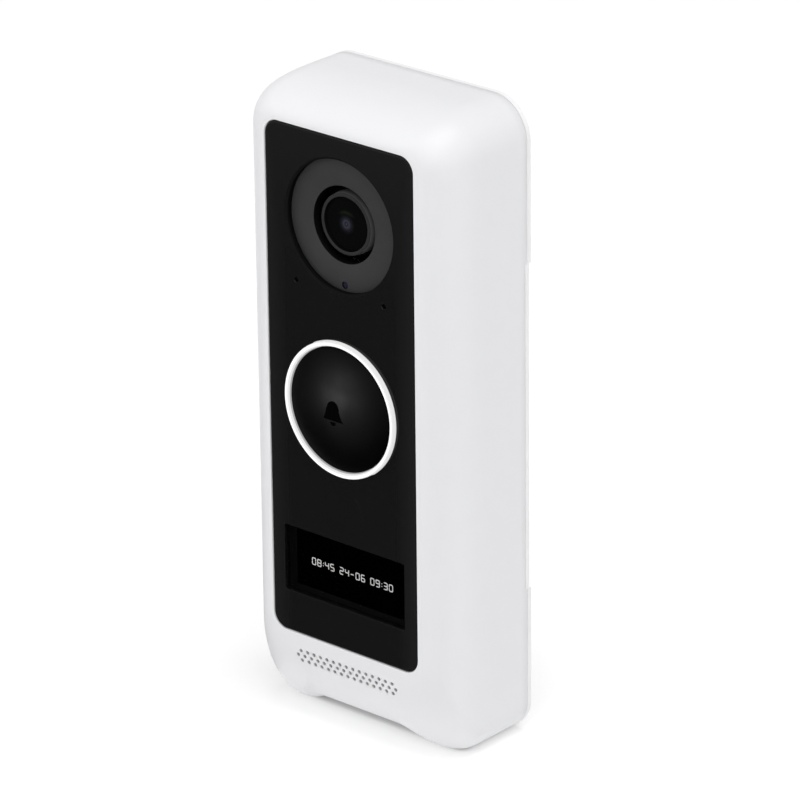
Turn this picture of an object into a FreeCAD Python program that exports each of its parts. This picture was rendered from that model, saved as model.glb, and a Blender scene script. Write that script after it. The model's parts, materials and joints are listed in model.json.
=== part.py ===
import FreeCAD, Part
import math
import os
from types import SimpleNamespace

import Sketcher
from FreeCAD import Placement, Rotation, Vector

# A wall-mounted video doorbell. Millimetres, +Z up, +Y towards the wall, +X to the right of a visitor who
# faces it. The origin is under the middle of the case, on the plane that its feet stand on. Depths are
# measured backwards from the front plane, the flat face of the black panel.

NODE_FOLDER = "parts"

# alias: (size, meaning)
SIZES = {
    "width": (54.0, "case, side to side"),
    "height": (136.0, "case, feet to top"),
    "front": (-11.8, "Y of the front plane"),
    "rear": (14.4, "Y of the plane that lies on the wall"),
    "side_inset": (7.45, "front rounding at the sides, across X"),
    "side_reach": (10.2, "front rounding at the sides, along Y"),
    "top_inset": (6.6, "front rounding at the top, across Z"),
    "top_reach": (17.3, "front rounding at the top, along Y"),
    "chin_inset": (19.3, "front rounding at the chin, across Z"),
    "chin_reach": (11.9, "front rounding at the chin, along Y"),
    "face_corner": (3.7, "corner radius of the flat face"),
    "top_corner": (8.6, "upper corner radius of the case"),
    "base_corner": (7.0, "lower corner radius of the case"),
    "base_swell": (5.5, "extra lower corner radius half way round the chin"),
    "arch_height": (1.5, "rise of the base between its feet"),
    "arch_left": (-15.2, "middle of the left rise of the arch"),
    "arch_left_ease": (2.3, "half the length of the left rise"),
    "arch_right": (12.2, "middle of the right rise of the arch"),
    "arch_right_ease": (4.6, "half the length of the right rise"),
    "seam": (13.3, "Y of the joint between case and rear cover"),
    "seam_gap": (0.05, "open parting line"),
    "relief": (0.6, "depth of the side reliefs in the rear edge"),
    "relief_low": (32.2, "lower end of the side reliefs"),
    "relief_high": (102.1, "upper end of the side reliefs"),
    "cavity_half": (24.8, "half width of the case's inside"),
    "cavity_low": (3.9, "floor of the case's inside"),
    "cavity_high": (133.6, "roof of the case's inside"),
    "cavity_depth": (9.6, "depth where the full inside starts"),
    "nose_half": (22.6, "half width of the inside behind the face"),
    "nose_low": (7.6, "floor of the inside behind the face"),
    "nose_high": (130.9, "roof of the inside behind the face"),
    "nose_depth": (4.0, "depth where that inside starts"),
    "panel_half": (19.25, "half width of the front panel"),
    "panel_low": (19.6, "lower edge of the front panel"),
    "panel_high": (129.1, "upper edge of the front panel"),
    "panel_corner": (3.3, "corner radius of the front panel"),
    "panel_thick": (1.6, "front panel"),
    "panel_gap": (0.1, "clearance round the front panel"),
    "glue": (0.2, "adhesive frame behind the panel"),
    "ledge": (1.5, "width of the ledge that carries the panel"),
    "lens_z": (110.6, "height of the camera's axis"),
    "lens_hole": (14.0, "radius of the panel's camera hole"),
    "front_lens_radius": (50.6, "curvature of the front lens"),
    "light_sensor_drop": (12.6, "light sensor, below the camera's axis"),
    "lamp_circle": (11.8, "radius of the circle of infrared lamps"),
    "button_z": (72.1, "height of the bell button's axis"),
    "button_hole": (14.4, "radius of the panel's button hole"),
    "ring_outer": (14.3, "light ring, outside radius"),
    "ring_inner": (13.2, "light ring, inside radius"),
    "ring_proud": (1.1, "light ring in front of the panel"),
    "ring_round": (0.35, "rounding of the light ring's front"),
    "cap_radius": (13.1, "bell button"),
    "dome": (2.6, "button's crown in front of the panel"),
    "dome_edge": (0.3, "edge of the crown in front of the panel"),
    "dome_radius": (38.46, "curvature of the button's crown"),
    "light_circle": (15.5, "radius of the circle of lamps behind the light ring"),
    "mic_x": (11.45, "microphone holes, from the middle"),
    "mic_z": (96.8, "height of the microphone holes"),
    "mic_hole": (0.5, "microphone hole radius"),
    "pir_z": (49.1, "height of the motion sensor's axis"),
    "pir_radius": (5.5, "motion sensor window"),
    "screen_z": (35.8, "height of the display's middle"),
    "window_half": (16.0, "half width of the display opening"),
    "window_tall": (7.2, "half height of the display opening"),
    "grille_pitch": (1.75, "speaker hole spacing along a row"),
    "grille_row": (1.13, "speaker hole row spacing"),
    "grille_high": (15.66, "height of the top row of speaker holes"),
    "grille_hole": (0.40, "speaker hole radius"),
    "speaker_z": (17.0, "height of the speaker's axis"),
    "tray_half": (22.2, "half width of the recess for the wall plate"),
    "tray_low": (12.0, "lower end of that recess"),
    "tray_high": (124.0, "upper end of that recess"),
    "tray_floor": (12.0, "Y of that recess's floor"),
    "cover_front": (10.4, "Y of the rear cover's inner face"),
    "plate_play": (0.25, "clearance round the wall plate"),
    "plate_slot_low": (24.0, "height of the lower wall screw slot"),
    "plate_slot_high": (112.0, "height of the upper wall screw slot"),
    "plate_slot_half": (2.1, "half width of a wall screw slot"),
    "plate_slot_run": (8.0, "length of a wall screw slot, end to end"),
    "boss_x": (19.8, "case screws, from the middle"),
    "boss_radius": (2.9, "case screw boss"),
    "terminal_x": (5.5, "terminal screws, from the middle"),
    "terminal_z": (82.0, "height of the terminal screws"),
    "port_z": (61.6, "height of the service port"),
    "reset_z": (50.0, "height of the reset button"),
    "screw_y": (13.0, "Y of the security screw's axis"),
    "screw_head": (1.3, "security screw head radius"),
    "screw_shank": (0.75, "security screw shank radius"),
}
BOSS_HEIGHTS = (17.0, 68.0, 119.0)

doc = FreeCAD.newDocument("video_doorbell")
sheet = doc.addObject("Spreadsheet::Sheet", "dims")
nodes = []


# ---------------------------------------------------------------- sizes and primitives


class Size:
    """A length that carries both its value and the sheet expression that it comes from."""

    def __init__(self, value, text):
        self.value = float(value)
        self.text = text

    def __add__(self, other):
        other = as_size(other)
        return Size(self.value + other.value, f"({self.text} + {other.text})")

    def __sub__(self, other):
        other = as_size(other)
        return Size(self.value - other.value, f"({self.text} - {other.text})")

    def __mul__(self, factor):
        return Size(self.value * factor, f"({self.text} * {factor})")

    def __neg__(self):
        return self * -1

    __radd__ = __add__


def as_size(number):
    if isinstance(number, Size):
        return number
    return Size(number, f"({number})")


def fill_sheet():
    for row, (alias, (size, meaning)) in enumerate(SIZES.items(), start=1):
        sheet.set(f"A{row}", meaning)
        sheet.set(f"B{row}", str(size))
        sheet.setAlias(f"B{row}", alias)
    doc.recompute()


fill_sheet()
D = SimpleNamespace(**{alias: Size(sheet.get(alias), f"dims.{alias}") for alias in SIZES})


def depth(distance):
    """Y at a distance behind the front plane."""
    return D.front + distance


def bind(obj, path, size):
    obj.setExpression(path, as_size(size).text)


def put(obj, x=0, y=0, z=0):
    for axis, size in (("x", x), ("y", y), ("z", z)):
        bind(obj, f"Placement.Base.{axis}", size)
    return obj


def node(obj, name):
    """Gives a finished piece the name of its node."""
    obj.Label = name
    nodes.append(obj)
    return obj


def block(x, y, z):
    """A box; each argument is a pair, from and to."""
    solid = doc.addObject("Part::Box", "block")
    for edge, (low, high) in (("Length", x), ("Width", y), ("Height", z)):
        bind(solid, edge, as_size(high) - low)
    return put(solid, x[0], y[0], z[0])


def wide(half):
    """The pair from -half to +half."""
    return -as_size(half), as_size(half)


def around(middle, half):
    return as_size(middle) - half, as_size(middle) + half


def rod(radius, y, x=0, z=0):
    """A cylinder along Y."""
    solid = doc.addObject("Part::Cylinder", "rod")
    solid.Placement = Placement(Vector(), Rotation(Vector(1, 0, 0), -90))
    bind(solid, "Radius", radius)
    bind(solid, "Height", as_size(y[1]) - y[0])
    return put(solid, x, y[0], z)


def upright(radius, x, y, z):
    """A cylinder along Z."""
    solid = doc.addObject("Part::Cylinder", "upright")
    bind(solid, "Radius", radius)
    bind(solid, "Height", as_size(z[1]) - z[0])
    return put(solid, x, y, z[0])


def level(radius, x, y, z):
    """A cylinder along X."""
    solid = doc.addObject("Part::Cylinder", "level")
    solid.Placement = Placement(Vector(), Rotation(Vector(0, 1, 0), 90))
    bind(solid, "Radius", radius)
    bind(solid, "Height", as_size(x[1]) - x[0])
    return put(solid, x[0], y, z)


def joined(pieces):
    if len(pieces) == 1:
        return pieces[0]
    solid = doc.addObject("Part::MultiFuse", "joined")
    solid.Shapes = pieces
    return solid


def apart(pieces):
    """Several separate solids in one group, such as identical screws."""
    group = doc.addObject("Part::Compound", "apart")
    group.Links = pieces
    return group


def cut(base, *tools):
    solid = doc.addObject("Part::Cut", "cut")
    solid.Base = base
    solid.Tool = joined(list(tools))
    return solid


# ---------------------------------------------------------------- sketched pieces


def sketch_in(body, plane_role):
    plane = next(f for f in body.Origin.OriginFeatures if f.Role == plane_role)
    sketch = body.newObject("Sketcher::SketchObject", "outline")
    sketch.AttachmentSupport = [(plane, "")]
    sketch.MapMode = "FlatFace"
    return sketch


def draw(sketch, points, curved=None):
    """A closed outline; every corner is tied to the sheet. curved maps an edge's number to its radius."""
    curved = curved or {}
    corners = [Vector(as_size(a).value, as_size(b).value, 0) for a, b in points]
    count = len(corners)
    for i, start in enumerate(corners):
        end = corners[(i + 1) % count]
        if i in curved:
            chord = end - start
            radius = curved[i].value
            rise = radius - math.sqrt(radius**2 - chord.Length**2 / 4)
            side = Vector(chord.y, -chord.x, 0).normalize()
            middle = (start + end) / 2 + side * rise
            sketch.addGeometry(Part.Arc(start, middle, end))
        else:
            sketch.addGeometry(Part.LineSegment(start, end))
    for i in range(count):
        first_end = tip_of(sketch, i, corners[(i + 1) % count])
        next_start = tip_of(sketch, (i + 1) % count, corners[(i + 1) % count])
        sketch.addConstraint(
            Sketcher.Constraint("Coincident", i, first_end, (i + 1) % count, next_start)
        )
    for i, (a, b) in enumerate(points):
        start = tip_of(sketch, i, corners[i])
        tie(sketch, "DistanceX", i, start, as_size(a))
        tie(sketch, "DistanceY", i, start, as_size(b))
    for i, radius in curved.items():
        number = sketch.addConstraint(Sketcher.Constraint("Radius", i, radius.value))
        bind(sketch, f"Constraints[{number}]", radius)


def tip_of(sketch, edge, point):
    """Which end of a sketch edge, 1 or 2, lies on a point."""
    if sketch.getPoint(edge, 1).distanceToPoint(point) < 1e-6:
        return 1
    return 2


def tie(sketch, kind, edge, end, size):
    number = sketch.addConstraint(Sketcher.Constraint(kind, edge, end, size.value))
    bind(sketch, f"Constraints[{number}]", size)


def turned(profile, x=0, z=0, curved=None):
    """A solid of revolution about a line along Y. The profile is a list of (radius, depth)."""
    body = doc.addObject("PartDesign::Body", "turned")
    sketch = sketch_in(body, "XY_Plane")
    draw(sketch, profile, curved)
    turn = body.newObject("PartDesign::Revolution", "turn")
    turn.Profile = sketch
    turn.ReferenceAxis = (sketch, ["V_Axis"])
    turn.Angle = 360
    body.Tip = turn
    return put(body, x, D.front, z)


def slab(x, y, z, radius=None):
    """A plate across Y with rounded corners; each of x, y and z is a pair, from and to."""
    body = doc.addObject("PartDesign::Body", "slab")
    sketch = sketch_in(body, "XZ_Plane")
    draw(sketch, [(x[0], z[0]), (x[1], z[0]), (x[1], z[1]), (x[0], z[1])])
    pad = body.newObject("PartDesign::Pad", "pad")
    pad.Profile = sketch
    pad.Reversed = True
    bind(pad, "Length", as_size(y[1]) - y[0])
    put(body, 0, y[0], 0)
    if radius is None:
        return body
    doc.recompute()
    names = []
    for i, edge in enumerate(pad.Shape.Edges, start=1):
        if abs(edge.tangentAt(edge.FirstParameter).y) > 0.99:
            names.append(f"Edge{i}")
    fillet = body.newObject("PartDesign::Fillet", "fillet")
    fillet.Base = (pad, names)
    bind(fillet, "Radius", radius)
    body.Tip = fillet
    return body


def strip(x, path):
    """A bent strip of constant width; the path is its outline in depth and height."""
    body = doc.addObject("PartDesign::Body", "strip")
    sketch = sketch_in(body, "YZ_Plane")
    draw(sketch, path)
    pad = body.newObject("PartDesign::Pad", "pad")
    pad.Profile = sketch
    bind(pad, "Length", as_size(x[1]) - x[0])
    return put(body, x[0], D.front, 0)


# ---------------------------------------------------------------- the case's outer form


def opened(distance, reach):
    """How far an elliptical rounding has opened: 0 at the front plane, 1 past its reach."""
    left = max(0.0, 1 - distance / reach)
    return math.sqrt(1 - left * left)


def rise_span(middle, ease, limit):
    """Outer and inner end of a rise, kept clear of the corner that starts at the limit."""
    outer = min(abs(middle.value) + ease.value, limit - 0.3)
    return outer, min(abs(middle.value) - ease.value, outer - 1.2 * ease.value)


def bottom_edge(limit, floor, rise):
    """The base between its corners, right to left: foot, rise, arch, rise, foot."""
    right_outer, right_inner = rise_span(D.arch_right, D.arch_right_ease, limit)
    left_outer, left_inner = rise_span(D.arch_left, D.arch_left_ease, limit)
    stops = [limit, right_outer, right_inner, -left_inner, -left_outer, -limit]
    levels = [floor, floor, floor + rise, floor + rise, floor, floor]
    edges = []
    for i in range(5):
        start = Vector(stops[i], 0, levels[i])
        end = Vector(stops[i + 1], 0, levels[i + 1])
        if i in (1, 3):
            curve = Part.BSplineCurve()
            curve.interpolate(smooth_step(start, end))
            edges.append(curve.toShape())
        else:
            edges.append(Part.LineSegment(start, end).toShape())
    return edges


def smooth_step(start, end, count=8):
    points = []
    for i in range(count + 1):
        share = i / count
        level_share = share * share * (3 - 2 * share)
        x = start.x + (end.x - start.x) * share
        points.append(Vector(x, 0, start.z + (end.z - start.z) * level_share))
    return points


def corner(x, z, radius, turn):
    """A quarter arc about a corner's centre, clockwise from the angle turn."""
    points = []
    for angle in (turn, turn - 45, turn - 90):
        rad = math.radians(angle)
        points.append(Vector(x + radius * math.cos(rad), 0, z + radius * math.sin(rad)))
    return Part.Arc(*points).toShape()


def case_outline(distance):
    """The case's section at a distance behind the front plane."""
    side = opened(distance, D.side_reach.value)
    top = opened(distance, D.top_reach.value)
    chin = opened(distance, D.chin_reach.value)
    half = D.width.value / 2 - D.side_inset.value * (1 - side)
    roof = D.height.value - D.top_inset.value * (1 - top)
    floor = D.chin_inset.value * (1 - chin)
    upper = D.face_corner.value * (1 - top) + D.top_corner.value * top
    lower = D.face_corner.value * (1 - chin) + D.base_corner.value * chin
    lower += D.base_swell.value * 4 * chin * (1 - chin)
    rise = D.arch_height.value * chin
    right, left = half - upper, upper - half
    edges = [Part.LineSegment(Vector(left, 0, roof), Vector(right, 0, roof)).toShape()]
    edges.append(corner(right, roof - upper, upper, 90))
    edges.append(Part.LineSegment(Vector(half, 0, roof - upper), Vector(half, 0, floor + lower)).toShape())
    edges.append(corner(half - lower, floor + lower, lower, 0))
    edges += bottom_edge(half - lower, floor, rise)
    edges.append(corner(lower - half, floor + lower, lower, -90))
    edges.append(Part.LineSegment(Vector(-half, 0, floor + lower), Vector(-half, 0, roof - upper)).toShape())
    edges.append(corner(left, roof - upper, upper, 180))
    wire = Part.Wire(edges)
    wire.translate(Vector(0, D.front.value + distance, 0))
    return wire


def case_form():
    """The case's full outer form, from the front plane to the seam."""
    steps = 9
    distances = [D.chin_reach.value * (1 - math.cos(math.pi / 2 * i / steps)) for i in range(steps + 1)]
    distances += [D.chin_reach.value + 1.4, D.top_reach.value - 1.9, D.top_reach.value]
    rounded = Part.makeLoft([case_outline(d) for d in distances], True, False)
    full = depth(D.top_reach).value
    straight = Part.Face(case_outline(D.top_reach.value))
    straight = straight.extrude(Vector(0, D.seam.value - D.seam_gap.value - full, 0))
    form = doc.addObject("Part::Feature", "case_form")
    form.Shape = rounded.fuse(straight)
    form.Placement = Placement()
    return form


def cover_rim():
    """The rim of the rear cover, with the case's full outline."""
    start = D.seam.value - D.front.value
    rim = doc.addObject("Part::Feature", "cover_rim")
    face = Part.Face(case_outline(start))
    rim.Shape = face.extrude(Vector(0, D.rear.value - D.seam.value, 0))
    rim.Placement = Placement()
    return rim


# ---------------------------------------------------------------- casings


def boss_places():
    return [(side, z) for z in BOSS_HEIGHTS for side in (-D.boss_x, D.boss_x)]


def grille_holes():
    holes = []
    for row in range(3):
        count = 16 if row == 1 else 15
        z = D.grille_high - D.grille_row * row
        for i in range(count):
            x = D.grille_pitch * (i - (count - 1) / 2)
            holes.append(rod(D.grille_hole, (depth(-1), depth(3)), x, z))
    return holes


def relief_span():
    return D.relief_low, D.relief_high


def security_notches():
    """Room for the security screw's head and shank, open to the rear."""
    room = []
    for half, span in ((D.screw_head + 0.2, (-1, 4.4)), (D.screw_shank + 0.2, (4.3, D.tray_low + 0.1))):
        room.append(upright(half, 0, D.screw_y, span))
        room.append(block(wide(half), (D.screw_y, D.rear + 1), span))
    return room


def boss_ribs():
    """Ribs that tie the screw bosses to the side walls; the seal rests on their ends."""
    ribs = []
    for z in BOSS_HEIGHTS:
        for x in ((-D.cavity_half - 0.2, -D.boss_x), (D.boss_x, D.cavity_half + 0.2)):
            ribs.append(block(x, (depth(D.cavity_depth - 0.4), D.cover_front - 0.8), around(z, 0.8)))
    return ribs


def front_housing():
    panel_room = D.panel_half + D.panel_gap
    panel_span = (D.panel_low - D.panel_gap, D.panel_high + D.panel_gap)
    open_half = D.panel_half - D.ledge
    open_span = (D.panel_low + D.ledge, D.panel_high - D.ledge)
    seat = D.panel_thick + D.glue
    deep = slab(wide(D.cavity_half), (depth(D.cavity_depth), D.rear), (D.cavity_low, D.cavity_high), 6)
    nose_y = (depth(D.nose_depth), depth(D.cavity_depth + 0.1))
    nose = slab(wide(D.nose_half), nose_y, (D.nose_low, D.nose_high), 8)
    seat_cut = slab(wide(panel_room), (depth(-1), depth(seat)), panel_span, D.panel_corner + D.panel_gap)
    through = slab(wide(open_half), (depth(1), depth(D.nose_depth + 0.1)), open_span, 2)
    chamber = slab(wide(14.2), (depth(2.6), depth(D.nose_depth + 0.1)), (11.2, 17.4), 1)
    edge_relief = block(wide(D.width), (D.seam - D.relief - D.seam_gap, D.rear), relief_span())
    ground = block(wide(D.width), (D.front, D.rear), (-2.0, 0))
    rooms = [deep, nose, seat_cut, through, chamber, edge_relief, ground]
    shell = cut(case_form(), *rooms, *grille_holes())
    boss_y = (depth(D.cavity_depth - 0.4), D.cover_front)
    bosses = [rod(D.boss_radius, boss_y, x, z) for x, z in boss_places()]
    pilots = [rod(1.05, (D.cover_front - 8, D.cover_front + 1), x, z) for x, z in boss_places()]
    return node(cut(joined([shell] + bosses + boss_ribs()), *security_notches(), *pilots), "front_housing")


def rear_cover():
    plug_half = D.cavity_half - 0.1
    plug_span = (D.cavity_low + 0.1, D.cavity_high - 0.1)
    plug = slab(wide(plug_half), (D.cover_front, D.seam + 0.1), plug_span, 5.9)
    lips = []
    for side in ((-D.width * 0.5, -plug_half + 0.2), (plug_half - 0.2, D.width * 0.5)):
        lips.append(block(side, (D.seam - D.relief, D.seam + 0.1), relief_span()))
    shell = joined([cover_rim(), plug] + lips)
    tray = slab(wide(D.tray_half), (D.tray_floor, D.rear + 1), (D.tray_low, D.tray_high), 3)
    notches = []
    for side in ((-D.width, -23.6), (23.6, D.width)):
        notches.append(block(side, (D.rear - D.relief, D.rear + 1), relief_span()))
    floor = (D.cover_front - 1, D.tray_floor + 1)
    terminals = block(wide(11.2), floor, around(D.terminal_z, 6.2))
    port = slab(wide(5.2), floor, around(D.port_z, 2.2), 1)
    reset = rod(1.28, floor, 0, D.reset_z)
    heads = []
    for z in (D.plate_slot_low, D.plate_slot_high):
        heads.append(slab(wide(5), (D.tray_floor - 1.1, D.tray_floor + 0.1), around(z, 7.5), 4))
    screws = []
    for x, z in boss_places():
        screws.append(rod(2.35, (D.tray_floor - 1.2, D.tray_floor + 0.5), x, z))
        screws.append(rod(1.2, floor, x, z))
    tools = [tray, terminals, port, reset] + security_notches() + notches + heads + screws
    return node(cut(shell, *tools), "rear_cover")


def housing_seal():
    outer = slab(wide(D.cavity_half - 0.1), (D.cover_front - 0.8, D.cover_front), (4.0, 133.5), 5.9)
    inner = slab(wide(D.cavity_half - 1.4), (D.cover_front - 2, D.cover_front + 1), (5.3, 132.2), 4.6)
    return node(cut(outer, inner), "housing_seal")


def housing_screws():
    screws = []
    for x, z in boss_places():
        head = rod(2.2, (D.tray_floor - 1.2, D.tray_floor - 0.05), x, z)
        shank = rod(1.0, (D.cover_front - 7, D.tray_floor - 0.3), x, z)
        drive = block(around(x, 1.2), (D.tray_floor - 0.7, D.tray_floor + 1), around(z, 0.25))
        cross = block(around(x, 0.25), (D.tray_floor - 0.7, D.tray_floor + 1), around(z, 1.2))
        screws.append(cut(joined([head, shank]), drive, cross))
    return node(apart(screws), "housing_screws")


# ---------------------------------------------------------------- front face


def front_panel():
    plate = slab(
        wide(D.panel_half), (depth(0), depth(D.panel_thick)), (D.panel_low, D.panel_high), D.panel_corner
    )
    through = (depth(-1), depth(3))
    holes = [rod(D.lens_hole, through, 0, D.lens_z), rod(D.button_hole, through, 0, D.button_z)]
    holes.append(rod(D.pir_radius + 0.04, through, 0, D.pir_z))
    holes += [rod(D.mic_hole, through, x, D.mic_z) for x in (-D.mic_x, D.mic_x)]
    holes.append(slab(wide(D.window_half), through, around(D.screen_z, D.window_tall), 0.4))
    return node(cut(plate, *holes), "front_panel")


def panel_adhesive():
    glue_y = (depth(D.panel_thick), depth(D.panel_thick + D.glue))
    outer = slab(wide(D.panel_half - 0.1), glue_y, (D.panel_low + 0.1, D.panel_high - 0.1), 3.2)
    wide_y = (depth(0), depth(4))
    inner = slab(wide(D.panel_half - D.ledge), wide_y, (D.panel_low + D.ledge, D.panel_high - D.ledge), 2)
    return node(cut(outer, inner), "panel_adhesive")


def display_pieces():
    span = around(D.screen_z, D.window_tall - 0.05)
    node(slab(wide(D.window_half - 0.05), (depth(0), depth(1.0)), span, 0.35), "display_window")
    frame = slab(wide(17.4), (depth(1.65), depth(3.5)), around(D.screen_z, 8.7), 1)
    pocket = block(wide(15.6), (depth(2.05), depth(4)), around(D.screen_z, 7.4))
    sight = block(wide(14.45), (depth(1), depth(3)), around(D.screen_z, 6.25))
    node(cut(frame, pocket, sight), "display_frame")
    node(slab(wide(15.5), (depth(2.05), depth(3.4)), around(D.screen_z, 7.3), 0.3), "display_panel")
    bend = [(3.55, 33.0), (3.55, 45.2), (7.9, 45.2), (7.9, 57.2), (11.3, 57.2)]
    back = [(11.3, 57.0), (8.1, 57.0), (8.1, 45.0), (3.75, 45.0), (3.75, 33.0)]
    node(strip((9.5, 14.5), bend + back), "display_flex")


def motion_sensor():
    node(rod(D.pir_radius, (depth(0), depth(D.panel_thick)), 0, D.pir_z), "pir_window")
    can = turned([(0, 3.0), (4.4, 3.0), (4.4, 6.6), (4.8, 6.6), (4.8, 7.2), (0, 7.2)], 0, D.pir_z)
    node(can, "pir_sensor")


def microphones():
    capsules = []
    gaskets = []
    for x in (-D.mic_x, D.mic_x):
        capsules.append(block(around(x, 1.75), (depth(3.5), depth(4.6)), around(D.mic_z, 1.35)))
        tube = rod(1.5, (depth(1.6), depth(3.5)), x, D.mic_z)
        channel = rod(0.6, (depth(1), depth(4)), x, D.mic_z)
        gaskets.append(cut(tube, channel))
    node(apart(capsules), "microphones")
    node(apart(gaskets), "microphone_gaskets")


# ---------------------------------------------------------------- camera


def camera():
    z = D.lens_z
    ring = turned([(8.15, 1.65), (16.2, 1.65), (16.2, 3.4), (8.0, 3.4), (8.0, 1.8)], 0, z)
    sensor_z = z - D.light_sensor_drop
    node(cut(ring, rod(0.75, (depth(0), depth(4)), 0, sensor_z)), "lens_ring")
    node(rod(0.7, (depth(1.8), depth(4.6)), 0, sensor_z), "light_sensor")

    lip = [(5.55, 2.25), (5.75, 2.05), (6.25, 2.05), (6.4, 2.2), (6.6, 4.2), (7.0, 4.2)]
    bore = [(7.0, 15.0), (3.8, 15.0), (3.8, 9.2), (4.6, 9.2), (4.6, 5.2), (5.55, 5.2)]
    node(turned(lip + bore, 0, z), "lens_barrel")
    glass = turned([(0, 2.3), (5.5, 2.6), (5.5, 5.2), (0, 5.2)], 0, z, {0: D.front_lens_radius})
    node(glass, "front_lens")
    node(turned([(3.2, 5.25), (4.55, 5.25), (4.55, 6.4), (3.2, 6.4)], 0, z), "lens_spacer")
    node(turned([(0, 6.5), (4.55, 6.9), (4.55, 9.1), (0, 9.1)], 0, z, {0: as_size(26.1)}), "middle_lens")
    node(turned([(0, 9.9), (3.75, 10.3), (3.75, 12.4), (0, 12.4)], 0, z, {0: as_size(17.8)}), "rear_lens")
    node(slab(wide(3.7), (depth(15.3), depth(15.7)), around(z, 3.7), 0.3), "infrared_filter")

    tower = rod(9.2, (depth(7.0), depth(16.5)), 0, z)
    foot = slab(wide(13.0), (depth(15.1), depth(17.5)), around(z, 11.0), 2)
    thread = rod(7.05, (depth(6), depth(15.2)), 0, z)
    chamber = block(wide(4.6), (depth(15), depth(18)), around(z, 4.6))
    node(cut(joined([tower, foot]), thread, chamber), "lens_holder")
    node(block(wide(4.2), (depth(16.3), depth(17.5)), around(z, 3.8)), "image_sensor")
    node(slab(wide(14.5), (depth(17.5), depth(18.5)), around(z, 12.6), 1.5), "sensor_board")

    board = turned([(8.6, 4.7), (15.4, 4.7), (15.4, 5.5), (8.6, 5.5)], 0, z)
    node(board, "infrared_board")
    lamps = []
    for i in range(6):
        angle = math.radians(60 * i)
        x = D.lamp_circle * math.cos(angle)
        lamp_z = z + D.lamp_circle * math.sin(angle)
        lamps.append(block(around(x, 1.4), (depth(3.5), depth(4.7)), around(lamp_z, 1.4)))
    node(apart(lamps), "infrared_lamps")


# ---------------------------------------------------------------- bell button


def bell_button():
    z = D.button_z
    outer, inner = D.ring_outer, D.ring_inner
    front, shoulder = -D.ring_proud, D.ring_round - D.ring_proud
    bead = [(inner, shoulder), (inner + D.ring_round, front)]
    bead += [(outer - D.ring_round, front), (outer, shoulder)]
    flange = [(outer, 1.7), (16.4, 1.7), (16.4, 3.0), (inner, 3.0)]
    node(turned(bead + flange, 0, z), "light_ring")

    cap = [(0, -D.dome), (D.cap_radius, -D.dome_edge), (D.cap_radius, 3.3), (13.8, 3.3), (13.8, 4.1)]
    cap += [(11.4, 4.1), (11.4, 1.4), (2.0, 1.4), (2.0, 5.15), (0, 5.15)]
    node(turned(cap, 0, z, {0: D.dome_radius}), "button_cap")

    node(turned([(14.2, 3.8), (17.2, 3.8), (17.2, 4.6), (14.2, 4.6)], 0, z), "ring_board")
    lights = []
    for i in range(12):
        angle = math.radians(30 * i)
        x = D.light_circle * math.cos(angle)
        light_z = z + D.light_circle * math.sin(angle)
        lights.append(block(around(x, 0.5), (depth(3.1), depth(3.8)), around(light_z, 0.5)))
    node(apart(lights), "ring_lights")
    node(turned([(14.9, 4.6), (17.2, 4.6), (17.2, 8.8), (14.9, 8.8)], 0, z), "button_frame")

    switch = block(wide(3.1), (depth(6.3), depth(8.8)), around(z, 3.1))
    node(cut(switch, rod(1.7, (depth(6), depth(7.6)), 0, z)), "bell_switch")
    node(rod(1.62, (depth(5.2), depth(6.7)), 0, z), "switch_plunger")
    node(slab(wide(16.6), (depth(8.8), depth(9.8)), (61.0, 88.0), 2), "button_board")


# ---------------------------------------------------------------- sound


def speaker():
    z = D.speaker_z
    basket = slab(wide(14.0), (depth(5.0), depth(9.4)), around(z, 7.5), 5)
    hollow = slab(wide(12.6), (depth(4), depth(8.4)), around(z, 6.1), 4)
    node(cut(basket, hollow, rod(5.6, (depth(8), depth(10)), 0, z)), "speaker_basket")
    sheet_of_cone = slab(wide(12.5), (depth(5.4), depth(5.7)), around(z, 6.0), 4)
    coil = cut(rod(4.2, (depth(5.6), depth(8.0)), 0, z), rod(3.9, (depth(5.7), depth(9)), 0, z))
    node(joined([sheet_of_cone, coil]), "speaker_cone")
    node(rod(5.5, (depth(8.2), depth(12.0)), 0, z), "speaker_magnet")
    frame = slab(wide(14.0), (depth(4.05), depth(5.0)), around(z, 7.5), 5)
    node(cut(frame, slab(wide(12.0), (depth(3), depth(6)), around(z, 5.5), 3.5)), "speaker_gasket")


# ---------------------------------------------------------------- electronics


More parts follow.
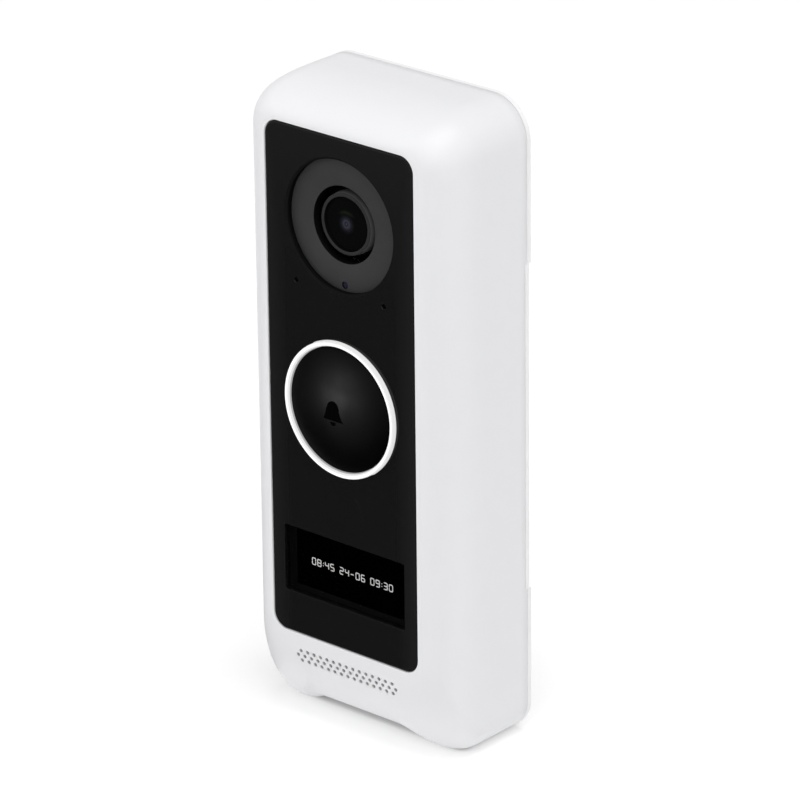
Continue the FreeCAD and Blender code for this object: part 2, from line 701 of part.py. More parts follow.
def boards():
    chassis = slab(wide(16.5), (depth(10.4), depth(12.4)), (24.8, 127.0), 2)
    board_room = slab(wide(15.2), (depth(9), depth(14)), (27.0, 94.0), 1)
    camera_room = slab(wide(13.6), (depth(9), depth(14)), (98.0, 124.5), 1)
    node(cut(chassis, board_room, camera_room), "inner_chassis")
    main = slab(wide(16.4), (depth(12.5), depth(14.1)), (22.0, 95.0), 2)
    node(main, "main_board")
    can = block(wide(12.0), (depth(10.0), depth(12.5)), (29.0, 54.0))
    node(cut(can, block(wide(11.7), (depth(10.3), depth(13)), (29.3, 53.7))), "shield_can")
    node(block(wide(7.0), (depth(10.9), depth(12.5)), (34.0, 48.0)), "processor")
    node(slab(wide(14.5), (depth(8.9), depth(9.9)), (27.5, 55.5), 1.5), "heat_spreader")
    sockets = [
        block((9.0, 15.0), (depth(11.3), depth(12.5)), (56.0, 59.5)),
        block(wide(6.0), (depth(14.1), depth(15.3)), (66.0, 70.0)),
        block((-14.5, -9.5), (depth(11.2), depth(12.5)), (80.0, 84.0)),
    ]
    node(apart(sockets), "board_connectors")
    node(slab(wide(13.0), (depth(15.3), depth(16.5)), (44.0, 92.0), 1.5), "power_board")
    node(level(4.2, (-12.0, 12.0), depth(16.4), 12.0), "storage_capacitor")
    node(block(wide(14.0), (depth(11.0), depth(19.0)), (133.0, 133.5)), "antenna")
    bend = [(18.5, 101.0), (18.7, 101.0), (18.7, 95.8), (14.3, 95.8), (14.3, 92.5)]
    back = [(14.1, 92.5), (14.1, 96.0), (18.5, 96.0)]
    node(strip((-4.0, 4.0), bend + back), "camera_flex")


def rear_controls():
    z = D.terminal_z
    terminal = block(wide(11.0), (depth(16.5), 12.4), around(z, 6.0))
    wire_ways = []
    clamps = []
    for x in (-D.terminal_x, D.terminal_x):
        wire_ways.append(rod(1.7, (6.0, 13.0), x, z))
        square = block(around(x, 3.9), (12.42, 13.0), around(z, 4.2))
        clamps.append(cut(square, rod(1.62, (12, 14), x, z)))
    partition = block(wide(0.6), (12.3, 14.0), around(z, 5.8))
    node(joined([cut(terminal, *wire_ways), partition]), "terminal_block")
    node(apart(clamps), "terminal_clamps")
    for name, x in (("left_terminal_screw", -D.terminal_x), ("right_terminal_screw", D.terminal_x)):
        head = rod(2.9, (13.05, 14.2), x, z)
        shank = rod(1.55, (7.5, 13.2), x, z)
        level_slot = block(around(x, 2.0), (13.6, 15), around(z, 0.3))
        upright_slot = block(around(x, 0.3), (13.6, 15), around(z, 2.0))
        node(cut(joined([head, shank]), level_slot, upright_slot), name)

    z = D.port_z
    shell = slab(wide(4.5), (depth(16.5), 11.2), around(z, 1.6), 1.55)
    node(cut(shell, slab(wide(4.2), (6.0, 12.0), around(z, 1.3), 1.25)), "service_port")
    flange = slab(wide(6.6), (12.05, 13.4), around(z, 3.4), 3)
    stem = slab(wide(5.0), (11.3, 12.1), around(z, 2.0), 0.9)
    tongue = slab(wide(3.9), (9.8, 11.4), around(z, 1.0), 0.95)
    node(joined([flange, stem, tongue]), "port_plug")

    z = D.reset_z
    node(joined([rod(1.2, (9.3, 12.5), 0, z), rod(2.0, (9.3, 9.9), 0, z)]), "reset_button")
    node(slab(wide(3.0), (depth(16.5), 8.6), around(z, 3.0), 0.5), "reset_switch")


# ---------------------------------------------------------------- wall plate


def wall_plate():
    play = D.plate_play
    plate_y = (D.tray_floor + 0.15, D.rear)
    span = (D.tray_low + play, D.tray_high - play)
    plate = slab(wide(D.tray_half - play), plate_y, span, 2.8)
    through = (D.tray_floor - 1, D.rear + 1)
    tools = [slab(wide(14.0), through, (38.0, 98.0), 3)]
    slot_half = D.plate_slot_run * 0.5
    for z in (D.plate_slot_low, D.plate_slot_high):
        tools.append(slab(wide(D.plate_slot_half), through, around(z, slot_half), D.plate_slot_half - 0.001))
        tools.append(slab(wide(3.9), (D.tray_floor, D.rear - 1.0), around(z, slot_half + 1.8), 3.85))
    tools.append(upright(D.screw_shank + 0.05, 0, D.screw_y, (D.tray_low, 16.5)))
    node(cut(plate, *tools), "mounting_plate")
    head = upright(D.screw_head, 0, D.screw_y, (1.8, 3.3))
    shank = upright(D.screw_shank, 0, D.screw_y, (3.2, 16.0))
    drive = upright(0.7, 0, D.screw_y, (1.0, 2.6))
    node(cut(joined([head, shank]), drive), "security_screw")


# ---------------------------------------------------------------- build, check and write


def check_and_write():
    doc.recompute()
    for obj in doc.Objects:
        if "Invalid" in obj.State or "Error" in obj.State:
            raise RuntimeError(f"{obj.Label} failed: {obj.State}")
    os.makedirs(NODE_FOLDER, exist_ok=True)
    for piece in nodes:
        shape = piece.Shape
        if shape.isNull() or not shape.isValid() or shape.Volume <= 0:
            raise RuntimeError(f"{piece.Label} has no valid solid")
        shape.exportStep(os.path.join(NODE_FOLDER, piece.Label + ".step"))
        print(f"{piece.Label:24s} solids {len(shape.Solids):2d}  volume {shape.Volume:10.1f}")


front_housing()
rear_cover()
housing_seal()
housing_screws()
front_panel()
panel_adhesive()
display_pieces()
motion_sensor()
microphones()
camera()
bell_button()
speaker()
boards()
rear_controls()
wall_plate()
check_and_write()
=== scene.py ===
import json
import math

import bmesh
import bpy
from mathutils import Matrix, Vector

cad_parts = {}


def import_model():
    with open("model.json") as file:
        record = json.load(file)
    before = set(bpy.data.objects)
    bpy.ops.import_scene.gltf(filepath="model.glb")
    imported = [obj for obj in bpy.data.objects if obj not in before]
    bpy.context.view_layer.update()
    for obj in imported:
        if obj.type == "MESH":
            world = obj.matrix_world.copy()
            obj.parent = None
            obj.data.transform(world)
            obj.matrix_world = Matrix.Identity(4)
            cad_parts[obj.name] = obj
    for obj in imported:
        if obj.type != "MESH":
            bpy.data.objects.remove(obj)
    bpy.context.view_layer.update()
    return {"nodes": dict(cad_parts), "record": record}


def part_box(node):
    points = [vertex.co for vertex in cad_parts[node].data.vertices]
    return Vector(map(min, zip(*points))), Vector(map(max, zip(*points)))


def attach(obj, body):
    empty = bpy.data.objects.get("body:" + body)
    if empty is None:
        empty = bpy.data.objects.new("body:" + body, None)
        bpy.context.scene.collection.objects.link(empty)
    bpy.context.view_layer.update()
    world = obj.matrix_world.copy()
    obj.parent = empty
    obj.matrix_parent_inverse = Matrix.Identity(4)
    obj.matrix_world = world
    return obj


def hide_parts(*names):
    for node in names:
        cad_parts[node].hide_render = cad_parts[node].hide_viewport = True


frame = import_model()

# A video doorbell: white rounded case, glossy black front with a camera, a domed button in a ring of light
# and a small display. Lengths in this script are millimetres until a mesh is made; Blender works in metres.

MM = 0.001
NODES = frame["nodes"]
SLOT_OF = {s["node"]: s["material_slot"] for s in frame["record"]["subparts"]}


def span(node, axis):
    """Lowest and highest coordinate of a CAD node along an axis, in millimetres."""
    low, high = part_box(node)
    return low[axis] / MM, high[axis] / MM


def middle(node, axis):
    low, high = span(node, axis)
    return (low + high) / 2


FRONT = span("front_panel", 1)[0]
HALF = span("front_housing", 0)[1]
HIGH = span("front_housing", 2)[1]
REAR = span("front_housing", 1)[1]
LENS_Z = middle("lens_ring", 2)
BUTTON_Z = middle("button_cap", 2)
PANEL_X, (PANEL_LOW, PANEL_HIGH) = span("front_panel", 0)[1], span("front_panel", 2)
SCREEN_Z = middle("display_window", 2)
SCREEN_HALF = span("display_window", 0)[1]
SCREEN_TALL = (span("display_window", 2)[1] - span("display_window", 2)[0]) / 2
PIR_Z = middle("pir_window", 2)


# ------------------------------------------------------------------ materials


class Paint:
    """A Principled material with nodes for colour variation, roughness and bump."""

    def __init__(self, name, colour, roughness, **sockets):
        self.mat = bpy.data.materials.new(name)
        self.mat.use_nodes = True
        self.tree = self.mat.node_tree
        self.shader = self.tree.nodes["Principled BSDF"]
        self.colour = colour
        self.set("Base Color", (*colour, 1.0))
        self.set("Roughness", roughness)
        for socket, value in sockets.items():
            self.set(socket.replace("_", " "), value)
        self.coords = self.tree.nodes.new("ShaderNodeTexCoord").outputs["Object"]

    def set(self, socket, value):
        self.shader.inputs[socket].default_value = value

    def node(self, kind, **settings):
        made = self.tree.nodes.new(kind)
        for key, value in settings.items():
            setattr(made, key, value)
        return made

    def link(self, source, target):
        self.tree.links.new(source, target)

    def noise(self, grain_mm, detail=2.0, stretch=(1, 1, 1)):
        """Noise whose features are about grain_mm across."""
        mapping = self.node("ShaderNodeMapping")
        mapping.inputs["Scale"].default_value = stretch
        texture = self.node("ShaderNodeTexNoise")
        texture.inputs["Scale"].default_value = 1 / (grain_mm * MM)
        texture.inputs["Detail"].default_value = detail
        self.link(self.coords, mapping.inputs["Vector"])
        self.link(mapping.outputs["Vector"], texture.inputs["Vector"])
        return texture.outputs["Fac"]

    def spread(self, source, low, high, edges=(0.3, 0.7)):
        remap = self.node("ShaderNodeMapRange")
        for socket, value in zip(("From Min", "From Max", "To Min", "To Max"), (*edges, low, high)):
            remap.inputs[socket].default_value = value
        self.link(source, remap.inputs["Value"])
        return remap.outputs["Result"]

    def mottle(self, amount, grain_mm=6.0, stretch=(1, 1, 1)):
        """Colour that drifts a little lighter and darker."""
        mix = self.node("ShaderNodeMix", data_type="RGBA")
        dark = tuple(c * (1 - amount) for c in self.colour)
        light = tuple(min(1.0, c * (1 + amount)) for c in self.colour)
        mix.inputs["A"].default_value = (*dark, 1)
        mix.inputs["B"].default_value = (*light, 1)
        self.link(self.spread(self.noise(grain_mm, 4.0, stretch), 0, 1), mix.inputs["Factor"])
        self.link(mix.outputs["Result"], self.shader.inputs["Base Color"])
        return self

    def uneven(self, low, high, grain_mm=3.0, stretch=(1, 1, 1)):
        """Roughness between low and high."""
        self.link(self.spread(self.noise(grain_mm, 3.0, stretch), low, high), self.shader.inputs["Roughness"])
        return self

    def bump(self, height_mm, grain_mm, strength=0.5, stretch=(1, 1, 1)):
        relief = self.node("ShaderNodeBump")
        relief.inputs["Strength"].default_value = strength
        relief.inputs["Distance"].default_value = height_mm * MM
        self.link(self.noise(grain_mm, 2.0, stretch), relief.inputs["Height"])
        self.link(relief.outputs["Normal"], self.shader.inputs["Normal"])
        return self


def moulded(name, colour, roughness, grain=0.35, height=0.01, mottle=0.03, **sockets):
    paint = Paint(name, colour, roughness, **sockets)
    paint.mottle(mottle, 5.0)
    paint.uneven(max(0.02, roughness - 0.05), min(1.0, roughness + 0.06), 2.0)
    return paint.bump(height, grain, 0.4)


def polished(name, colour, roughness, **sockets):
    paint = Paint(name, colour, roughness, **sockets)
    paint.mottle(0.08, 9.0)
    return paint.uneven(roughness * 0.8, roughness * 1.3, 14.0)


def metal(name, colour, roughness, stretch=(1, 1, 12)):
    paint = Paint(name, colour, roughness, Metallic=1.0)
    paint.mottle(0.08, 2.0, stretch)
    paint.uneven(roughness * 0.75, roughness * 1.35, 1.2, stretch)
    return paint.bump(0.004, 0.5, 0.3, stretch)


def clear(name, tint, ior):
    paint = Paint(name, tint, 0.0, IOR=ior)
    paint.set("Transmission Weight", 1.0)
    return paint.uneven(0.0, 0.01, 20.0)


def film(name, colour, alpha):
    """A clear sheet that only tints what is behind it."""
    paint = polished(name, colour, 0.3, Specular_IOR_Level=0.0)
    paint.set("Alpha", alpha)
    return paint


def board_green(name):
    """Solder resist over copper tracks."""
    paint = Paint(name, (0.02, 0.16, 0.07), 0.35)
    tracks = paint.node("ShaderNodeTexBrick")
    tracks.inputs["Scale"].default_value = 260
    tracks.inputs["Color1"].default_value = (0.015, 0.13, 0.055, 1)
    tracks.inputs["Color2"].default_value = (0.03, 0.21, 0.09, 1)
    tracks.inputs["Mortar"].default_value = (0.05, 0.27, 0.12, 1)
    paint.link(paint.coords, tracks.inputs["Vector"])
    paint.link(tracks.outputs["Color"], paint.shader.inputs["Base Color"])
    return paint.bump(0.02, 0.8, 0.3)


def by_radius(paint, stops):
    """Colours that change with the distance from the camera's axis: (radius in mm, colour) pairs."""
    offset = paint.node("ShaderNodeVectorMath", operation="SUBTRACT")
    offset.inputs[1].default_value = (0, 0, LENS_Z * MM)
    flat = paint.node("ShaderNodeVectorMath", operation="MULTIPLY")
    flat.inputs[1].default_value = (1, 0, 1)
    length = paint.node("ShaderNodeVectorMath", operation="LENGTH")
    ramp = paint.node("ShaderNodeValToRGB")
    reach = stops[-1][0]
    paint.link(paint.coords, offset.inputs[0])
    paint.link(offset.outputs["Vector"], flat.inputs[0])
    paint.link(flat.outputs["Vector"], length.inputs[0])
    paint.link(paint.spread(length.outputs["Value"], 0, 1, (0, reach * MM)), ramp.inputs["Fac"])
    ramp.color_ramp.elements[0].color = (*stops[0][1], 1)
    ramp.color_ramp.elements[1].color = (*stops[-1][1], 1)
    for radius, colour in stops[1:-1]:
        ramp.color_ramp.elements.new(radius / reach).color = (*colour, 1)
    return ramp.outputs["Color"]


def painted_lens_highlights():
    """Coated front glass with painted light: a pale bluish painted highlight in the middle, a faint greenish
    painted reflection above it and black round them.
    """
    paint = Paint("lens_painted_highlights", (0.004, 0.004, 0.0045), 0.2, Specular_IOR_Level=0.05)
    painted_highlight_blue, deep_blue, pale = (0.062, 0.062, 0.078), (0.014, 0.014, 0.022), (0.034, 0.034, 0.046)
    faint_painted_halo, shade, black = (0.013, 0.013, 0.018), (0.006, 0.006, 0.008), (0.0030, 0.0031, 0.0034)
    # Stops of the painted highlight in the middle of the lens, fading to black.
    stops = [(0, painted_highlight_blue), (0.28, deep_blue), (0.75, pale), (1.15, faint_painted_halo), (1.7, shade)]
    painted_pupil_highlight = by_radius(paint, stops + [(2.1, black), (5.5, black)])
    # A painted reflection in a ring, kept only above the middle.
    none, painted_reflection_green = (0, 0, 0), (0.007, 0.011, 0.003)
    arc = by_radius(paint, [(0, none), (1.9, none), (2.35, painted_reflection_green), (2.9, none), (5.5, none)])
    split = paint.node("ShaderNodeSeparateXYZ")
    above = paint.spread(split.outputs["Z"], 0, 1, ((LENS_Z + 1.6) * MM, (LENS_Z + 2.3) * MM))
    glow = paint.node("ShaderNodeVectorMath", operation="MULTIPLY_ADD")
    paint.link(paint.coords, split.inputs["Vector"])
    paint.link(arc, glow.inputs[0])
    paint.link(above, glow.inputs[1])
    paint.link(painted_pupil_highlight, glow.inputs[2])
    paint.link(glow.outputs["Vector"], paint.shader.inputs["Base Color"])
    return paint.uneven(0.03, 0.05, 6.0)


def black_glass(name, deep, pale):
    """Back-printed glass with a painted reflection that makes it a little paler towards its sides and its
    top.
    """
    paint = Paint(name, deep, 0.03, Specular_IOR_Level=0.20)
    split = paint.node("ShaderNodeSeparateXYZ")
    paint.link(paint.coords, split.inputs["Vector"])
    across = paint.node("ShaderNodeMath", operation="ABSOLUTE")
    paint.link(split.outputs["X"], across.inputs[0])
    sides = paint.spread(across.outputs["Value"], 0, 1, (14.0 * MM, 19.0 * MM))
    top = paint.spread(split.outputs["Z"], 0, 0.75, (100.0 * MM, 129.0 * MM))
    painted_reflection_share = paint.node("ShaderNodeMath", operation="MAXIMUM")
    paint.link(sides, painted_reflection_share.inputs[0])
    paint.link(top, painted_reflection_share.inputs[1])
    mix = paint.node("ShaderNodeMix", data_type="RGBA")
    mix.inputs["A"].default_value = (*deep, 1)
    mix.inputs["B"].default_value = (*pale, 1)
    paint.link(painted_reflection_share.outputs["Value"], mix.inputs["Factor"])
    paint.link(mix.outputs["Result"], paint.shader.inputs["Base Color"])
    return paint.uneven(0.02, 0.045, 14.0)


WHITE = (0.775, 0.775, 0.79)
PAINTS = {
    "white_case": moulded("white_case", WHITE, 0.42, 0.25, 0.0015, 0.004, Specular_IOR_Level=0.35),
    "white_cover": moulded("white_cover", (0.85, 0.85, 0.86), 0.5, 0.4, 0.02, 0.012),
    # The panel's second, paler colour is painted reflection.
    "black_panel": black_glass("black_panel", (0.0078, 0.0078, 0.0080), (0.0128, 0.0128, 0.0130)),
    "black_button": polished("black_button", (0.0006, 0.0006, 0.0006), 0.41, Specular_IOR_Level=0.02),
    "clear_window": film("clear_window", (0.001, 0.001, 0.001), 0.05),
    "dark_window": polished("dark_window", (0.0078, 0.0077, 0.0080), 0.04, Specular_IOR_Level=0.20),
    "grey_ring": moulded("grey_ring", (0.0405, 0.0405, 0.041), 0.5, 0.2, 0.003, 0.04, Specular_IOR_Level=0.2),
    "black_barrel": moulded(
        "black_barrel", (0.003, 0.003, 0.0032), 0.5, 0.2, 0.004, 0.1, Specular_IOR_Level=0.08
    ),
    "lens_glass": polished("lens_glass", (0.010, 0.010, 0.014), 0.08),
    "white_light": moulded("white_light", (0.95, 0.95, 0.95), 0.4, 0.4, 0.003, 0.01),
    "black_frame": moulded(
        "black_frame", (0.003, 0.003, 0.003), 0.6, 0.3, 0.008, 0.1, Specular_IOR_Level=0.05
    ),
    "display_glass": polished("display_glass", (0.0002, 0.0002, 0.0002), 0.3, Specular_IOR_Level=0.0),
    "amber_film": moulded("amber_film", (0.45, 0.20, 0.04), 0.35, 0.8, 0.01, 0.12),
    "green_board": board_green("green_board"),
    "black_board": moulded("black_board", (0.004, 0.004, 0.004), 0.6, 0.3, 0.01, 0.1, Specular_IOR_Level=0.1),
    "black_chip": moulded("black_chip", (0.02, 0.02, 0.022), 0.55, 0.15, 0.01, 0.1),
    "sensor_face": polished("sensor_face", (0.020, 0.016, 0.034), 0.5, Specular_IOR_Level=0.1),
    "tin_can": metal("tin_can", (0.60, 0.60, 0.58), 0.32),
    "steel": metal("steel", (0.55, 0.55, 0.55), 0.30),
    "brass": metal("brass", (0.62, 0.44, 0.17), 0.30),
    "aluminium": metal("aluminium", (0.66, 0.67, 0.68), 0.38),
    "magnet_steel": metal("magnet_steel", (0.62, 0.62, 0.63), 0.15, (1, 1, 1)),
    "rubber_black": moulded("rubber_black", (0.012, 0.012, 0.012), 0.75, 0.3, 0.02, 0.15),
    "rubber_grey": moulded("rubber_grey", (0.20, 0.21, 0.21), 0.75, 0.3, 0.02, 0.08),
    "foam_black": moulded("foam_black", (0.015, 0.015, 0.015), 0.95, 0.25, 0.08, 0.3),
    "paper_cone": moulded("paper_cone", (0.02, 0.02, 0.023), 0.8, 0.5, 0.04, 0.25),
    "lamp_lens": polished("lamp_lens", (0.05, 0.006, 0.008), 0.1),
    "yellow_lamp": moulded("yellow_lamp", (0.85, 0.70, 0.20), 0.5, 0.2, 0.01, 0.08),
    "blue_sleeve": moulded("blue_sleeve", (0.02, 0.06, 0.20), 0.25, 0.6, 0.01, 0.1),
    "blue_filter": clear("blue_filter", (0.55, 0.85, 0.90), 1.5),
    "terminal_grey": moulded("terminal_grey", (0.05, 0.055, 0.06), 0.55, 0.3, 0.02, 0.1),
    "grey_plate": moulded("grey_plate", (0.09, 0.095, 0.10), 0.6, 0.35, 0.03, 0.08),
    "reset_orange": moulded("reset_orange", (0.70, 0.20, 0.03), 0.5, 0.3, 0.01, 0.06),
}


def lit(name, albedo, glow):
    """Translucent plastic with light behind it."""
    paint = Paint(name, (albedo, albedo, albedo), 0.5, Specular_IOR_Level=0.1)
    paint.mottle(0.02, 3.0)
    paint.set("Emission Color", (1.0, 1.0, 0.995, 1))
    paint.set("Emission Strength", glow)
    return paint


GLOW = lit("ring_glow", 0.50, 0.64)
GLOW_SHOULDER = lit("ring_glow_shoulder", 0.45, 0.46)
GLOW_INSIDE = lit("ring_glow_inside", 0.25, 0.26)
GLOW_OUTSIDE = lit("ring_glow_outside", 0.35, 0.55)
DIGITS = lit("digit_glow", 0.30, 0.42)
BEZEL = moulded("bezel_grey", (0.028, 0.028, 0.029), 0.45, 0.2, 0.003, 0.05, Specular_IOR_Level=0.2)
BARREL_WALL = moulded("barrel_wall", (0.085, 0.085, 0.085), 0.7, 0.2, 0.003, 0.05, Specular_IOR_Level=0.05)
HOLE_EDGE = moulded("hole_edge", (0.0070, 0.0070, 0.0070), 0.7, 0.2, 0.003, 0.05, Specular_IOR_Level=0.05)
INK = moulded("matt_ink", (0.0015, 0.0015, 0.0015), 0.9, 0.2, 0.004, 0.1, Specular_IOR_Level=0.0)
# Grey for the walls of the speaker holes in the white case: painted shade inside the holes.
PAINTED_SHADE_HOLE_WALL = moulded("hole_wall_painted_shade", (0.45, 0.45, 0.45), 0.8, 0.3, 0.004, 0.05)

for node_name, cad in NODES.items():
    cad.data.materials.clear()
    cad.data.materials.append(PAINTS[SLOT_OF[node_name]].mat)


# ------------------------------------------------------------------ mesh building


def place(x, t, z):
    """Millimetres, with depth behind the front plane, to a point in metres."""
    return Vector((x * MM, (FRONT + t) * MM, z * MM))


def finish_mesh(name, mesh, paint, angle=35.0):
    """Turns a bmesh into an object: smooth faces, and sharp edges where they turn by more than the angle."""
    bmesh.ops.recalc_face_normals(mesh, faces=mesh.faces)
    limit = math.radians(angle)
    for face in mesh.faces:
        face.smooth = True
    for edge in mesh.edges:
        if len(edge.link_faces) == 2 and edge.calc_face_angle(0) > limit:
            edge.smooth = False
    data = bpy.data.meshes.new(name)
    mesh.to_mesh(data)
    mesh.free()
    data.materials.append(paint.mat)
    made = bpy.data.objects.new(name, data)
    bpy.context.scene.collection.objects.link(made)
    return made


def loft(name, rings, paint, closed=False, angle=35.0):
    """Joins rings of equal length. closed joins the last to the first, otherwise both ends are filled."""
    mesh = bmesh.new()
    rows = [[mesh.verts.new(p) for p in ring] for ring in rings]
    pairs = list(zip(rows, rows[1:]))
    if closed:
        pairs.append((rows[-1], rows[0]))
    for a, b in pairs:
        for i in range(len(a)):
            j = (i + 1) % len(a)
            mesh.faces.new((a[i], a[j], b[j], b[i]))
    if not closed:
        mesh.faces.new(rows[0][::-1])
        mesh.faces.new(rows[-1])
    return finish_mesh(name, mesh, paint, angle)


def lathe(name, profile, paint, x, z, steps):
    """Turns (radius, depth) points about a line along Y. A radius of 0 closes the end to a point."""
    mesh = bmesh.new()
    rows = []
    for radius, t in profile:
        if radius == 0:
            rows.append([mesh.verts.new(place(x, t, z))])
            continue
        row = []
        for i in range(steps):
            turn = 2 * math.pi * i / steps
            row.append(mesh.verts.new(place(x + radius * math.cos(turn), t, z + radius * math.sin(turn))))
        rows.append(row)
    pairs = list(zip(rows, rows[1:]))
    if len(rows[0]) > 1 and len(rows[-1]) > 1:
        pairs.append((rows[-1], rows[0]))
    for a, b in pairs:
        for i in range(steps):
            j = (i + 1) % steps
            corners = [a[i % len(a)], a[j % len(a)], b[j % len(b)], b[i % len(b)]]
            mesh.faces.new(list(dict.fromkeys(corners)))
    return finish_mesh(name, mesh, paint)


def rounded_rect(half, low, high, radius, corner_steps):
    """Points of a rounded rectangle in X and Z, clockwise from the upper left, seen by a visitor."""
    points = []
    centres = [(half - radius, high - radius, 90), (half - radius, low + radius, 0)]
    centres += [(radius - half, low + radius, -90), (radius - half, high - radius, 180)]
    for cx, cz, start in centres:
        for i in range(corner_steps + 1):
            turn = math.radians(start - 90 * i / corner_steps)
            points.append((cx + radius * math.cos(turn), cz + radius * math.sin(turn)))
    return points


def plate(name, half, low, high, radius, edge, paint, steps):
    """A slab with a rounded outline. edge is a list of (inset, depth) from the front face to the back."""
    rings = []
    for inset, t in edge:
        points = rounded_rect(half - inset, low + inset, high - inset, max(0.05, radius - inset), steps)
        rings.append([place(x, t, z) for x, z in points])
    return loft(name, rings, paint)


def carve(target, cutters):
    """Cuts the cutters out of the target for good. The walls of a hole take the cutter's material."""
    for cutter in cutters:
        step = target.modifiers.new("cut", "BOOLEAN")
        step.operation = "DIFFERENCE"
        step.solver = "EXACT"
        step.object = cutter
        step.material_mode = "TRANSFER"
    bpy.context.view_layer.update()
    result = bpy.data.meshes.new_from_object(target.evaluated_get(bpy.context.evaluated_depsgraph_get()))
    target.modifiers.clear()
    result.name = target.name
    target.data = result
    for cutter in cutters:
        bpy.data.objects.remove(cutter)
    return target


def merged(name, objects):
    """One cutter from several."""
    mesh = bmesh.new()
    for made in objects:
        mesh.from_mesh(made.data)
    paint = objects[0].data.materials[0]
    data = bpy.data.meshes.new(name)
    mesh.to_mesh(data)
    mesh.free()
    data.materials.append(paint)
    for made in objects:
        bpy.data.objects.remove(made)
    joined = bpy.data.objects.new(name, data)
    bpy.context.scene.collection.objects.link(joined)
    return joined


def adopt(made, body, nodes):
    """The piece rides on a body and stands for CAD nodes."""
    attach(made, body)
    if nodes:
        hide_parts(*nodes)


def hole_cutter(radius, t0, t1, x, z, steps, chamfer, paint):
    """Cuts a round hole from depth t0 to t1, with a chamfer at its mouth."""
    profile = [(0, t0 - 1), (radius + chamfer, t0 - 1), (radius + chamfer, t0), (radius, t0 + chamfer)]
    profile += [(radius, t1), (0, t1)]
    return lathe("cutter", profile, paint, x, z, steps)


# ------------------------------------------------------------------ the case

# How far the sides, the top and the chin draw in towards the front, and the depth over which they do.
SIDE_INSET, SIDE_REACH = 7.45, 10.2
TOP_INSET, TOP_REACH = 6.6, 17.3
CHIN_INSET, CHIN_REACH = 19.3, 11.9
FACE_CORNER, TOP_CORNER, BASE_CORNER, BASE_SWELL = 3.7, 8.6, 7.0, 5.5
ARCH_RISE = 1.5
ARCH_LEFT, ARCH_LEFT_EASE = 15.2, 2.3
ARCH_RIGHT, ARCH_RIGHT_EASE = 12.2, 4.6
RELIEF, RELIEF_LOW, RELIEF_HIGH = 0.6, 32.2, 102.1
SEAT_DEPTH, INNER_WALL, CAVITY_STEP = 1.8, 4.0, 9.6
GRILLE_HOLE, GRILLE_PITCH, GRILLE_ROW, GRILLE_TOP = 0.40, 1.75, 1.13, 15.66


def opened(t, reach):
    """How far the case has widened at a depth: 0 at the front plane, 1 from the reach on."""
    left = max(0.0, 1 - t / reach)
    return math.sqrt(1 - left * left)


def line(a, b, count):
    """count points from a towards b, without b."""
    return [(a[0] + (b[0] - a[0]) * i / count, a[1] + (b[1] - a[1]) * i / count) for i in range(count)]


def arc(cx, cz, radius, start, count):
    """count points of a clockwise quarter circle from the start angle, without its end."""
    points = []
    for i in range(count):
        turn = math.radians(start - 90 * i / count)
        points.append((cx + radius * math.cos(turn), cz + radius * math.sin(turn)))
    return points


def side(x, low, high, upward):
    """A side of the outline, with points where the relief in the rear edge starts and ends."""
    stops = [low, RELIEF_LOW - 0.1, RELIEF_LOW + 0.1, RELIEF_HIGH - 0.1, RELIEF_HIGH + 0.1, high]
    counts = [6, 1, 30, 1, 8]
    if not upward:
        stops.reverse()
        counts.reverse()
    points = []
    for a, b, count in zip(stops, stops[1:], counts):
        points += line((x, a), (x, b), count)
    return points


def rise_span(place_of_rise, ease, limit):
    """Where the arch in the base starts to rise and where it is up."""
    outer = min(place_of_rise + ease, limit - 0.3)
    return outer, min(place_of_rise - ease, outer - 1.2 * ease)


def step(a, b, count):
    """count points of a smooth step from a to b, without b."""
    points = []
    for i in range(count):
        share = i / count
        points.append((a[0] + (b[0] - a[0]) * share, a[1] + (b[1] - a[1]) * share * share * (3 - 2 * share)))
    return points


def outline(half, roof, floor, upper, lower, rise):
    """Clockwise outline of the case, starting at the upper left."""
    limit = half - lower
    right_outer, right_inner = rise_span(ARCH_RIGHT, ARCH_RIGHT_EASE, limit)
    left_outer, left_inner = rise_span(ARCH_LEFT, ARCH_LEFT_EASE, limit)
    right, low = half - upper, floor + lower
    points = line((-right, roof), (right, roof), 24)
    points += arc(right, roof - upper, upper, 90, 18)
    points += side(half, low, roof - upper, False)
    points += arc(limit, low, lower, 0, 18)
    points += line((limit, floor), (right_outer, floor), 3)
    points += step((right_outer, floor), (right_inner, floor + rise), 10)
    points += line((right_inner, floor + rise), (-left_inner, floor + rise), 14)
    points += step((-left_inner, floor + rise), (-left_outer, floor), 10)
    points += line((-left_outer, floor), (-limit, floor), 3)
    points += arc(-limit, low, lower, -90, 18)
    points += side(-half, low, roof - upper, True)
    points += arc(-right, roof - upper, upper, 180, 18)
    return points


def case_section(t, inset=0.0):
    """The case's outline at a depth behind the front plane."""
    across, top, chin = opened(t, SIDE_REACH), opened(t, TOP_REACH), opened(t, CHIN_REACH)
    half = HALF - SIDE_INSET * (1 - across)
    roof = HIGH - TOP_INSET * (1 - top)
    floor = CHIN_INSET * (1 - chin)
    upper = FACE_CORNER * (1 - top) + TOP_CORNER * top
    lower = FACE_CORNER * (1 - chin) + BASE_CORNER * chin + BASE_SWELL * 4 * chin * (1 - chin)
    return outline(half - inset, roof - inset, floor + inset, upper - inset, lower - inset, ARCH_RISE * chin)


def outline_box(half, low, high, radius):
    """A rounded rectangle with the same number of points as the case's outline."""
    right = half - radius
    points = line((-right, high), (right, high), 24)
    points += arc(right, high - radius, radius, 90, 18)
    points += side(half, low + radius, high - radius, False)
    points += arc(right, low + radius, radius, 0, 18)
    points += line((right, low), (-right, low), 40)
    points += arc(-right, low + radius, radius, -90, 18)
    points += side(-half, low + radius, high - radius, True)
    points += arc(-right, high - radius, radius, 180, 18)
    return points


